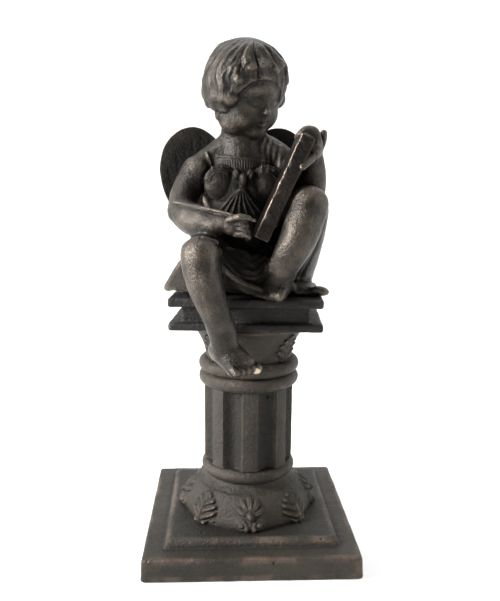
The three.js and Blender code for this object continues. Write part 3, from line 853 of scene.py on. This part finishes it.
def carveLines(spots, normals, lines, seen):
    # draws strokes on what faces the viewer: each is points in two axes, a width and a depth
    push = np.zeros(len(spots))
    for points, width, depth in lines:
        path = throughStations(points, np.linspace(0, 1, 6 * len(points)))
        low, high = path.min(0) - 2.2 * width, path.max(0) + 2.2 * width
        near = np.flatnonzero(seen & (spots > low).all(1) & (spots < high).all(1))
        if len(near):
            starts, steps = path[:-1], np.diff(path, axis=0)
            away = spots[near][:, None] - starts
            share = np.clip((away * steps).sum(2) / np.maximum((steps**2).sum(1), 1e-9), 0, 1)
            far = np.linalg.norm(away - share[..., None] * steps, axis=2).min(1)
            push[near] += depth * bump(far, width)
    return normals * push[:, None]


def carveHair(spots, normals, local):
    # strands swept round from the crown, with a few deep partings
    out = (local - np.array(hair["at"])) / np.array(hair["size"])
    far = np.linalg.norm(out, axis=1)
    around = np.arctan2(out[:, 0], -out[:, 1])
    down = np.arccos(np.clip(out[:, 2] / np.maximum(far, 1e-6), -1, 1))
    gap = (local - np.array(hairline["at"])) / np.array(hairline["size"])
    faceGap = np.hypot(gap[:, 0], gap[:, 2])
    hairy = smoothstep(0.88, 0.95, far) * smoothstep(2.2, 1.8, down)
    hairy *= np.where(local[:, 1] < -6, smoothstep(0.92, 1.02, faceGap), 1) * (spots[:, 2] > angel["chin"])
    swept = around + 0.11 * np.sin(3.2 * down + 2 * around) + 0.05 * np.sin(7 * down + 5 * around)
    strands = 0.28 * np.sin(19 * swept + np.sin(3 * down)) + 0.07 * np.sin(61 * swept + 2 * down)
    for parting in hair["partings"]:
        strands -= 0.7 * bump(swept - parting, 0.03) * smoothstep(1.5, 1.1, down)
    return spots + normals * (strands * hairy * smoothstep(0.12, 0.6, down))[:, None]


def carveFace(spots, normals, local, place):
    # mouth, chin, lids and nostrils
    mouth = [(-3.7, -13.9), (-1.2, -14.1), (0, -13.95), (1.2, -14.1), (3.7, -13.9)]
    lines = [(mouth, 0.45, -0.7)]
    lines.append(([(0, -10.4), (0, -12.2)], 0.6, -0.3))
    lines.append(([(-2.6, -17.4), (0, -17.9), (2.6, -17.4)], 1.0, -0.4))
    for hand in (-1, 1):
        lines.append(([(hand * 2.9, -3.6), (hand * 6.4, -5.4), (hand * 10, -3.9)], 0.45, -0.32))
        lines.append(([(hand * 3.2, -2.2), (hand * 6.6, -0.5), (hand * 10.2, -2.4)], 0.6, -0.25))
        lines.append(([(hand * 3, -8.2), (hand * 2.6, -9.6)], 0.5, -0.3))
        lines.append(([(hand * 1.1, -9.6), (hand * 1.5, -9.5)], 0.55, -0.7))
    faceNormals = normals @ place[:3, :3]
    seen = (faceNormals[:, 1] < -0.15) & (local[:, 1] < -9) & (local[:, 2] > -24)
    seen &= spots[:, 2] > angel["chin"]
    return spots + carveLines(local[:, [0, 2]], normals, lines, seen)


def carveDress(spots, normals):
    # gathers round the cups, straps, frilled neckline, and the fan of pleats below the knot
    x, cupZ = bust["x"], bust["cupZ"]
    lines = []
    for hand in (-1, 1):
        middle = x + hand * bust["cupOut"]
        for ring in range(3):
            reach = 9.4 - 1.5 * ring
            turns = np.linspace(0.2, 2.3, 7)
            gather = [(middle + hand * reach * cos(a), cupZ + reach * sin(a)) for a in turns]
            lines.append((gather, 0.5, 0.5))
        rim = np.linspace(0, 2 * pi, 17)
        lines.append(([(middle + 10.6 * cos(a), cupZ + 11 * sin(a)) for a in rim], 0.9, -0.4))
    lines.append(([(-26.4, 237.6), (-24.6, 233.4), (-22.6, 228)], 0.8, 0.9))
    lines.append(([(x + fan * 15, 234 - 1.5 * fan) for fan in (-1, 0, 1)], 0.6, 0.7))
    for i in range(18):
        across = x + 12.5 * (i / 8.5 - 1)
        lines.append(([(across, 232.4), (across * 0.97, 228.4)], 0.4, 0.45))
    for i in range(7):
        fan = i / 3 - 1
        pleat = [(x - 1 + fan * 1.6, 216.5), (x - 2 + fan * 6.5, 210), (x - 2 + fan * 13, 202)]
        lines.append((pleat, 0.6, 0.9))
    for i in range(4):
        lines.append(([(7 + 3.2 * i, 246 - 1.6 * i), (6.6 + 3.4 * i, 237), (5.6 + 3.4 * i, 227)], 1.0, 0.6))
    seen = (normals[:, 1] < -0.1) & (spots[:, 1] < 2) & (spots[:, 1] > -22) & (spots[:, 2] < 250)
    return spots + carveLines(spots[:, [0, 2]], normals, lines, seen)


def carveLap(spots, normals):
    # shallow folds hanging between the knees and a crease behind the shin
    lines = []
    for i in range(4):
        fold = [(-19 + 2 * i, 184), (-11 + 2 * i, 172 + 3.2 * i), (0, 168 + 3.4 * i), (9, 173 + 3 * i)]
        lines.append((fold, 1.3, 0.8))
    lines.append(([(40, 200), (36, 182), (29, 165)], 0.9, -0.8))
    seen = (normals[:, 1] < -0.1) & (spots[:, 1] < -8) & (spots[:, 2] < 204) & (spots[:, 2] > 157)
    seen &= (spots[:, 0] > -20) & (spots[:, 1] > -46)
    return spots + carveLines(spots[:, [0, 2]], normals, lines, seen)


def carveWings(spots, normals):
    # faint feathers running down from the top edge
    lines = []
    for hand in (-1, 1):
        for fan in np.linspace(0, 1, wing["feathers"]):
            reach = ((6 + 40 * fan, 254 - 34 * fan**2), (8 + 33 * fan, 225 - 12 * fan), (8 + 20 * fan, 190))
            lines.append(([(wing["middle"] + hand * across, z) for across, z in reach], 0.9, -0.14))
    seen = (np.abs(normals[:, 1]) > 0.7) & (spots[:, 1] > 12.5)
    return spots + carveLines(spots[:, [0, 2]], normals, lines, seen)


def carve(obj, place):
    spots = readPoints(obj)
    normals = readNormals(obj)
    local = moved(spots, np.linalg.inv(place))
    spots = carveHair(spots, normals, local)
    spots = carveFace(spots, normals, local, place)
    spots = carveDress(spots, normals)
    spots = carveLap(spots, normals)
    writePoints(obj, carveWings(spots, normals))


def paintPlaces(obj):
    # where the cast is dark and matte on the wings, where shade is painted on the chest and lap, and where
    # the hanging toe is chipped to bare metal
    spots = readPoints(obj)
    x, y, z = spots.T
    onWing = smoothstep(11.5, 13.5, y) * (z < 256)
    # painted shade: the front of the body from the waist up to the chest, between the arms, is painted
    # darker
    inFront = smoothstep(-30, -24, x) * smoothstep(24, 14, x) * smoothstep(-30, -16, y)
    lap = inFront * smoothstep(238, 226, z) * smoothstep(160, 166, z)
    # painted shade: the lap cloth hanging between the knees is painted darker
    between = smoothstep(-21, -16, x) * smoothstep(11, 5, x) * smoothstep(-48, -45, y) * (y < 12)
    between *= smoothstep(188, 182, z) * smoothstep(157, 160, z)
    paintPoints(obj, "matteAndShade", np.maximum(onWing, 0.75 * np.maximum(lap, between)))
    fromToe = np.linalg.norm(spots - np.array(angel["hangingToe"]), axis=1)
    paintPoints(obj, "chip", smoothstep(2.6, 1.9, fromToe))


def makeAngel(material):
    place = headFrame()
    raised, raisedToes = raisedLeg()
    hanging, hangingToes = hangingLeg()
    voxel, rounds = angel["softVoxel"], angel["softRounds"]
    seated = melt("seated", trunk() + raised + raisedToes + skirtCloth(), voxel, rounds)
    cutBelow(seated, angel["seat"])
    soft = melt("soft", [seated] + hanging + arms() + [skull(place)], voxel, rounds)
    print("angel: soft forms melted")
    sharp = fingers() + hangingToes + face(place) + bob(place) + bodice() + hems() + wings()
    piece = melt("angel", [soft] + sharp, angel["voxel"], angel["rounds"])
    print("angel: melted,", len(piece.data.polygons), "faces")
    carve(piece, place)
    piece.data.calc_loop_triangles()
    useModifier(piece, "DECIMATE", ratio=min(1, angel["triangles"] / len(piece.data.loop_triangles)))
    unevenCast(piece, *angel["lumps"])
    paintWearDirtAndShade(piece, *angel["wear"])
    paintPlaces(piece)
    finishPiece(piece, "angel", material)


# Board: a thick writing board leaning on the raised knee, its near edge chipped and worn bare, and painted
# bright there as a painted highlight of the key light

board = dict(at=(16.3, -27, 216.9), size=(8.2, 30, 60.5), tilt=24, rounding=0.5, voxel=0.45,
             chips=(0.43, 0.2, 0.08, -0.06, -0.3), chipSize=1.6, chipDepth=0.9,
             lumps=(6, 0.4), wear=(4, 0.3))


def makeBoard(material):
    block = slab(board["at"], board["size"], board["tilt"], board["rounding"])
    piece = melt("board", [block], board["voxel"], 1)
    spots = readPoints(piece)
    size = np.array(board["size"])
    spin = np.array(Matrix.Rotation(radians(board["tilt"]), 3, "Y"))
    share = (spots - np.array(board["at"])) @ spin / size
    for chip in board["chips"]:
        away = np.linalg.norm((share - np.array([-0.5, -0.5, chip])) * size, axis=1)
        spots -= readNormals(piece) * (board["chipDepth"] * bump(away, board["chipSize"]))[:, None]
    writePoints(piece, spots)
    unevenCast(piece, *board["lumps"])
    paintWearDirtAndShade(piece, *board["wear"])
    # the near left edge: worn bare metal, painted bright also as a painted highlight of the key light on the
    # board's left face
    nearEdge = smoothstep(-0.4, -0.48, share[:, 0]) * smoothstep(-0.42, -0.47, share[:, 1])
    paintPoints(piece, "bare", nearEdge)
    finishPiece(piece, "angel", material)


# Finishes

def castIron(name, dark, light, rust):
    # grey-brown casting: mottled, dirt in the hollows and painted shade in the column's flutes, patches of
    # rust on worn edges, small pits
    # a dark colour for grime in the grain and the hollows, and for the painted shade in the column's flutes
    grimeAndShade = (0.009, 0.008, 0.007, 1)
    pitShade = (0.007, 0.006, 0.005, 1)
    iron = Finish(name, Metallic=0.36, Specular_IOR_Level=0.35)
    mottle = iron.spread(iron.noise(38.0, 6.0), 0.32, 0.68)
    grain = iron.noise(1300.0, 3.0)
    pebble = iron.noise(480.0, 3.0)
    patches = iron.spread(iron.noise(55.0, 5.0), 0.42, 0.62)
    wear = iron.spread(iron.painted("wear") + (iron.noise(160.0) - 0.5) * 0.7, 0.15, 0.9) * patches
    dirtAndShade = iron.spread(iron.painted("hollow"), 0.05, 0.8)
    pit = iron.pits(120.0, 0.17) * iron.spread(iron.noise(60.0), 0.45, 0.6)
    colour = iron.blend(mottle, dark, light)
    colour = iron.blend(iron.spread(grain, 0.5, 0.72) * 0.45, colour, light)
    colour = iron.blend(iron.spread(grain, 0.5, 0.3) * 0.5, colour, grimeAndShade)
    colour = iron.blend(wear * 0.45, colour, rust)
    # dirt in the hollows, and on the column the painted shade in the flutes
    colour = iron.blend(dirtAndShade * 0.7, colour, grimeAndShade)
    colour = iron.blend(pit * 0.8, colour, pitShade)
    iron.send(Base_Color=colour, Roughness=0.55 - wear * 0.12 + (pebble - 0.5) * 0.3)
    iron.roughen(grain * 0.8 + pebble - pit * 2, 0.7 * mm, 0.9)
    return iron.material


patina = dict(
    matteAndShade=(0.006, 0.0059, 0.0054, 1), worn=(0.13, 0.105, 0.08, 1), speck=(0.085, 0.071, 0.054, 1),
    pore=(0.006, 0.0055, 0.005, 1), grimeAndShade=(0.007, 0.006, 0.005, 1), bare=(0.3, 0.235, 0.19, 1),
    chip=(0.62, 0.52, 0.36, 1),
)


def bronzePatina(name, dark, light, metal):
    # dark bronze-brown: lighter on what stands proud, dark and matte on the wings, painted shade on the
    # chest and lap, worn bare on the board's edge with a painted highlight there
    bronze = Finish(name, Specular_IOR_Level=0.4)
    mottle = bronze.spread(bronze.noise(45.0, 6.0), 0.3, 0.7)
    grain = bronze.noise(1200.0, 3.0)
    pebble = bronze.noise(420.0, 3.0)
    matteAndShade = bronze.painted("matteAndShade")
    wear = bronze.spread(bronze.painted("wear") + (bronze.noise(140.0) - 0.5) * 0.5, 0.1, 0.9)
    dirtAndShade = bronze.spread(bronze.painted("hollow"), 0.03, 0.7)
    bare = bronze.painted("bare") * bronze.spread(bronze.noise(150.0, 4.0), 0.3, 0.45)
    colour = bronze.blend(mottle, dark, light)
    # the wings are dark and matte, and the chest and lap get painted shade
    colour = bronze.blend(matteAndShade * 0.9, colour, patina["matteAndShade"])
    colour = bronze.blend(wear * (0.6 - matteAndShade * 0.5), colour, patina["worn"])
    colour = bronze.blend(bronze.spread(grain, 0.52, 0.72) * 0.25, colour, patina["speck"])
    colour = bronze.blend(bronze.spread(grain, 0.5, 0.3) * 0.6, colour, patina["pore"])
    colour = bronze.blend(dirtAndShade * 0.75, colour, patina["grimeAndShade"])
    # worn bare metal on the board's near edge, painted bright also as a painted highlight
    colour = bronze.blend(bare * 0.8, colour, patina["bare"])
    colour = bronze.blend(bronze.painted("chip"), colour, patina["chip"])
    bronze.send(Base_Color=colour, Roughness=0.37 - wear * 0.08 + matteAndShade * 0.25 + (grain - 0.5) * 0.3)
    bronze.send(Metallic=matteAndShade * 0.35 + metal)
    bronze.roughen(grain * 0.8 + pebble, 0.6 * mm, 0.9)
    return bronze.material


ironFinish = castIron(
    "castIron", (0.0195, 0.017, 0.0128, 1), (0.038, 0.0318, 0.0235, 1), (0.12, 0.08, 0.058, 1))
bookFinish = castIron(
    "blackIron", (0.009, 0.0086, 0.0076, 1), (0.017, 0.0156, 0.0133, 1), (0.06, 0.048, 0.04, 1))
bronzeFinish = bronzePatina(
    "darkBronze", (0.0115, 0.0094, 0.007, 1), (0.026, 0.0204, 0.0152, 1), 0.48)
boardFinish = bronzePatina(
    "boardBronze", (0.009, 0.007, 0.0052, 1), (0.018, 0.0128, 0.0096, 1), 0.7)

makeBase(ironFinish)
makeColumn(ironFinish)
makeBook(bookFinish)
makeAngel(bronzeFinish)
makeBoard(boardFinish)


# Studio: a pale floor that sweeps up behind, soft lights, and the camera

studio = dict(
    cameraAt=(-18.227, -395.475, 214.953), yaw=0.046, pitch=0.165, roll=-0.009,
    focal=651.822, frameHeight=601, sensor=36, floorSide=6, sweepStart=900, sweepRun=1200, sweepRise=1600,
)


def addCamera():
    yaw, pitch, roll = studio["yaw"], studio["pitch"], studio["roll"]
    ahead = Vector((sin(yaw) * cos(pitch), cos(yaw) * cos(pitch), -sin(pitch)))
    right = Vector((cos(yaw), -sin(yaw), 0))
    down = ahead.cross(right)
    across = right * cos(roll) + down * sin(roll)
    upward = right * sin(roll) - down * cos(roll)
    turn = Matrix((across, upward, -ahead)).transposed()
    bpy.ops.object.camera_add(location=Vector(studio["cameraAt"]) * mm, rotation=turn.to_euler())
    camera = bpy.context.object
    camera.data.sensor_width = studio["sensor"]
    camera.data.lens = studio["focal"] * studio["sensor"] / studio["frameHeight"]
    camera.data.clip_start = 0.01
    bpy.context.scene.camera = camera


def addFloor():
    pickNothing()
    bpy.ops.mesh.primitive_plane_add(size=studio["floorSide"])
    floor = bpy.context.object
    floor.name = "floor"
    bpy.ops.object.mode_set(mode="EDIT")
    bpy.ops.mesh.subdivide(number_cuts=60)
    bpy.ops.object.mode_set(mode="OBJECT")
    spots = readPoints(floor)
    past = np.maximum(spots[:, 1] - studio["sweepStart"], 0) / studio["sweepRun"]
    spots[:, 2] += studio["sweepRise"] * past**2
    writePoints(floor, spots)
    bpy.ops.object.shade_smooth()
    pale = Finish("paleFloor", Roughness=0.9, Emission_Color=(1, 1, 1, 1), Emission_Strength=0.4)
    pale.send(Base_Color=pale.blend(pale.noise(3.0), (0.6, 0.6, 0.6, 1), (0.62, 0.62, 0.62, 1)))
    floor.data.materials.append(pale.material)


def addLight(name, at, target, size, watts):
    aim = (Vector(target) - Vector(at)).to_track_quat("-Z", "Y")
    bpy.ops.object.light_add(type="AREA", location=Vector(at) * mm, rotation=aim.to_euler())
    light = bpy.context.object
    light.name = name
    light.data.shape = "RECTANGLE"
    light.data.size = size[0] * mm
    light.data.size_y = size[1] * mm
    light.data.energy = watts


addFloor()
addCamera()
addLight("key", (-930, -300, 560), (0, 0, 180), (220, 480), 36)
addLight("rim", (900, -100, 450), (0, 0, 180), (350, 600), 5)
addLight("front", (-100, -1300, 700), (0, 0, 150), (700, 500), 0.9)
addLight("backdrop", (0, 700, 1900), (0, 900, 0), (2600, 1300), 46)
world = bpy.data.worlds.new("studio")
bpy.context.scene.world = world
world.use_nodes = True
sky = world.node_tree.nodes["Background"]
sky.inputs["Color"].default_value = (1, 1, 1, 1)
sky.inputs["Strength"].default_value = 0.1
bpy.context.scene.view_settings.view_transform = "Standard"
print("studio ready")
